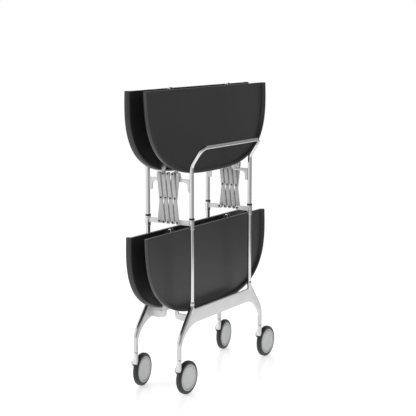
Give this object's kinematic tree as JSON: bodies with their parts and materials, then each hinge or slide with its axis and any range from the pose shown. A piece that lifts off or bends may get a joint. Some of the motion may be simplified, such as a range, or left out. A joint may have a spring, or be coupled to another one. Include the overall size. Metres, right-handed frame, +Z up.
{
  "type": "folding serving trolley",
  "caption": "Folding two-level serving trolley, shown folded: D-shaped tray leaves on a centre hinge, tube handles, lazy tongs, cast leg frames and swivel castors.",
  "frame": {"origin": "centre of the bounding box in plan, on the floor under the wheels", "axes": "+X the way the front half unfolds, +Y along the hinge lines to the right, +Z up"},
  "size_m": [0.238, 0.675, 0.901],
  "materials": {
    "tray_plastic": "fine satin grain, charcoal black",
    "chrome_tube": "polished chrome plate",
    "leg_casting": "satin die casting, pale grey",
    "bracket_casting": "satin light grey",
    "tong_steel": "satin light grey flat bar with dark rivets",
    "collar_chrome": "polished sleeve",
    "black_ring": "black ring",
    "dark_pin": "blackened steel pins",
    "hinge_arm": "satin black",
    "castor_fork": "bright silver",
    "castor_hub": "pale grey moulding",
    "castor_tyre": "black rubber",
    "axle_steel": "turned steel"
  },
  "bodies": {
    "rear_frame": {"rear_handle_tube": "chrome_tube", "rear_leg_casting": "leg_casting", "rear_frame_pins": "dark_pin", "rear_left_upper_bracket": "bracket_casting", "rear_left_lower_bracket": "bracket_casting", "rear_right_upper_bracket": "bracket_casting", "rear_right_lower_bracket": "bracket_casting"},
    "rear_upper_leaf": {"rear_upper_leaf": "tray_plastic", "rear_upper_hinge_arms": "hinge_arm"},
    "rear_lower_leaf": {"rear_lower_leaf": "tray_plastic", "rear_lower_hinge_arms": "hinge_arm"},
    "rear_sliders": {"rear_left_collar": "collar_chrome", "rear_right_collar": "collar_chrome", "rear_collar_rings": "black_ring"},
    "rear_tong_1a": {"rear_left_tong_bar_1a": "tong_steel", "rear_right_tong_bar_1a": "tong_steel"},
    "rear_tong_1b": {"rear_left_tong_bar_1b": "tong_steel", "rear_right_tong_bar_1b": "tong_steel"},
    "rear_tong_2a": {"rear_left_tong_bar_2a": "tong_steel", "rear_right_tong_bar_2a": "tong_steel"},
    "rear_tong_2b": {"rear_left_tong_bar_2b": "tong_steel", "rear_right_tong_bar_2b": "tong_steel"},
    "rear_left_castor_fork": {"rear_left_castor_fork": "castor_fork", "rear_left_castor_axle": "axle_steel"},
    "rear_left_wheel": {"rear_left_castor_tyre": "castor_tyre", "rear_left_castor_hub": "castor_hub"},
    "rear_right_castor_fork": {"rear_right_castor_fork": "castor_fork", "rear_right_castor_axle": "axle_steel"},
    "rear_right_wheel": {"rear_right_castor_tyre": "castor_tyre", "rear_right_castor_hub": "castor_hub"},
    "front_frame": {"front_handle_tube": "chrome_tube", "front_leg_casting": "leg_casting", "front_frame_pins": "dark_pin", "front_left_upper_bracket": "bracket_casting", "front_left_lower_bracket": "bracket_casting", "front_right_upper_bracket": "bracket_casting", "front_right_lower_bracket": "bracket_casting"},
    "front_upper_leaf": {"front_upper_leaf": "tray_plastic", "front_upper_hinge_arms": "hinge_arm"},
    "front_lower_leaf": {"front_lower_leaf": "tray_plastic", "front_lower_hinge_arms": "hinge_arm"},
    "front_sliders": {"front_left_collar": "collar_chrome", "front_right_collar": "collar_chrome", "front_collar_rings": "black_ring"},
    "front_tong_1a": {"front_left_tong_bar_1a": "tong_steel", "front_right_tong_bar_1a": "tong_steel"},
    "front_tong_1b": {"front_left_tong_bar_1b": "tong_steel", "front_right_tong_bar_1b": "tong_steel"},
    "front_tong_2a": {"front_left_tong_bar_2a": "tong_steel", "front_right_tong_bar_2a": "tong_steel"},
    "front_tong_2b": {"front_left_tong_bar_2b": "tong_steel", "front_right_tong_bar_2b": "tong_steel"},
    "front_left_castor_fork": {"front_left_castor_fork": "castor_fork", "front_left_castor_axle": "axle_steel"},
    "front_left_wheel": {"front_left_castor_tyre": "castor_tyre", "front_left_castor_hub": "castor_hub"},
    "front_right_castor_fork": {"front_right_castor_fork": "castor_fork", "front_right_castor_axle": "axle_steel"},
    "front_right_wheel": {"front_right_castor_tyre": "castor_tyre", "front_right_castor_hub": "castor_hub"}
  },
  "joints": [
    {"name": "main_fold", "type": "hinge", "parent": "rear_frame", "child": "rear_upper_leaf", "pos_m": [-0.02197, 0, 0.66813], "axis": [0, 1, 0], "range_deg": [0, 88]},
    {"name": "upper_centre_hinge", "type": "hinge", "parent": "rear_upper_leaf", "child": "front_upper_leaf", "pos_m": [0, 0, 0.896], "axis": [0, 1, 0], "range_deg": [-176, 0]},
    {"name": "front_upper_pivot", "type": "hinge", "parent": "front_upper_leaf", "child": "front_frame", "pos_m": [0.02197, 0, 0.66813], "axis": [0, 1, 0], "range_deg": [0, 88]},
    {"name": "rear_lower_pivot", "type": "hinge", "parent": "rear_frame", "child": "rear_lower_leaf", "pos_m": [-0.02197, 0, 0.25163], "axis": [0, 1, 0], "range_deg": [0, 88]},
    {"name": "lower_centre_hinge", "type": "hinge", "parent": "rear_lower_leaf", "child": "front_lower_leaf", "pos_m": [0, 0, 0.4795], "axis": [0, 1, 0], "range_deg": [-176, 0]},
    {"name": "rear_collar_slide", "type": "slide", "parent": "rear_frame", "child": "rear_sliders", "axis": [0, 0, 1], "range_m": [0, 0.06371]},
    {"name": "rear_tong_1a_pivot", "type": "hinge", "parent": "rear_frame", "child": "rear_tong_1a", "pos_m": [-0.033, 0, 0.6488], "axis": [0, 1, 0], "range_deg": [-50.11, 0]},
    {"name": "rear_tong_1b_pivot", "type": "hinge", "parent": "rear_tong_1a", "child": "rear_tong_1b", "pos_m": [-0.02475, 0, 0.57765], "axis": [0, 1, 0], "range_deg": [0, 100.22]},
    {"name": "rear_tong_2a_pivot", "type": "hinge", "parent": "rear_tong_1b", "child": "rear_tong_2a", "pos_m": [-0.0165, 0, 0.6488], "axis": [0, 1, 0], "range_deg": [-100.22, 0]},
    {"name": "rear_tong_2b_pivot", "type": "hinge", "parent": "rear_tong_2a", "child": "rear_tong_2b", "pos_m": [-0.00825, 0, 0.57765], "axis": [0, 1, 0], "range_deg": [0, 100.22]},
    {"name": "front_collar_slide", "type": "slide", "parent": "front_frame", "child": "front_sliders", "axis": [0, 0, 1], "range_m": [0, 0.06371]},
    {"name": "front_tong_1a_pivot", "type": "hinge", "parent": "front_frame", "child": "front_tong_1a", "pos_m": [0.033, 0, 0.6488], "axis": [0, 1, 0], "range_deg": [0, 50.11]},
    {"name": "front_tong_1b_pivot", "type": "hinge", "parent": "front_tong_1a", "child": "front_tong_1b", "pos_m": [0.02475, 0, 0.57765], "axis": [0, 1, 0], "range_deg": [-100.22, 0]},
    {"name": "front_tong_2a_pivot", "type": "hinge", "parent": "front_tong_1b", "child": "front_tong_2a", "pos_m": [0.0165, 0, 0.6488], "axis": [0, 1, 0], "range_deg": [0, 100.22]},
    {"name": "front_tong_2b_pivot", "type": "hinge", "parent": "front_tong_2a", "child": "front_tong_2b", "pos_m": [0.00825, 0, 0.57765], "axis": [0, 1, 0], "range_deg": [-100.22, 0]},
    {"name": "front_left_swivel", "type": "hinge", "parent": "front_frame", "child": "front_left_castor_fork", "pos_m": [0.0775, -0.239, 0.114], "axis": [0, 0, 1], "continuous": true},
    {"name": "front_left_wheel_spin", "type": "hinge", "parent": "front_left_castor_fork", "child": "front_left_wheel", "pos_m": [0.0775, -0.198, 0.05], "axis": [1, 0, 0], "continuous": true},
    {"name": "front_right_swivel", "type": "hinge", "parent": "front_frame", "child": "front_right_castor_fork", "pos_m": [0.0775, 0.239, 0.114], "axis": [0, 0, 1], "continuous": true},
    {"name": "front_right_wheel_spin", "type": "hinge", "parent": "front_right_castor_fork", "child": "front_right_wheel", "pos_m": [0.0775, 0.28, 0.05], "axis": [1, 0, 0], "continuous": true},
    {"name": "rear_left_swivel", "type": "hinge", "parent": "rear_frame", "child": "rear_left_castor_fork", "pos_m": [-0.0775, -0.239, 0.114], "axis": [0, 0, 1], "continuous": true},
    {"name": "rear_left_wheel_spin", "type": "hinge", "parent": "rear_left_castor_fork", "child": "rear_left_wheel", "pos_m": [-0.08285, -0.19835, 0.05], "axis": [0.9914, 0.1305, 0], "continuous": true},
    {"name": "rear_right_swivel", "type": "hinge", "parent": "rear_frame", "child": "rear_right_castor_fork", "pos_m": [-0.0775, 0.239, 0.114], "axis": [0, 0, 1], "continuous": true},
    {"name": "rear_right_wheel_spin", "type": "hinge", "parent": "rear_right_castor_fork", "child": "rear_right_wheel", "pos_m": [-0.08285, 0.27965, 0.05], "axis": [0.9914, 0.1305, 0], "continuous": true}
  ],
  "couplings": [
    {"joint": "upper_centre_hinge", "follows": "main_fold", "ratio": -2},
    {"joint": "front_upper_pivot", "follows": "main_fold", "ratio": 1},
    {"joint": "rear_lower_pivot", "follows": "main_fold", "ratio": 1},
    {"joint": "lower_centre_hinge", "follows": "main_fold", "ratio": -2},
    {"joint": "rear_collar_slide", "follows": "main_fold", "m_per_rad": 0.041477},
    {"joint": "rear_tong_1a_pivot", "follows": "main_fold", "ratio": -0.56945},
    {"joint": "rear_tong_1b_pivot", "follows": "main_fold", "ratio": 1.1389},
    {"joint": "rear_tong_2a_pivot", "follows": "main_fold", "ratio": -1.1389},
    {"joint": "rear_tong_2b_pivot", "follows": "main_fold", "ratio": 1.1389},
    {"joint": "front_collar_slide", "follows": "main_fold", "m_per_rad": 0.041477},
    {"joint": "front_tong_1a_pivot", "follows": "main_fold", "ratio": 0.56945},
    {"joint": "front_tong_1b_pivot", "follows": "main_fold", "ratio": -1.1389},
    {"joint": "front_tong_2a_pivot", "follows": "main_fold", "ratio": 1.1389},
    {"joint": "front_tong_2b_pivot", "follows": "main_fold", "ratio": -1.1389}
  ]
}
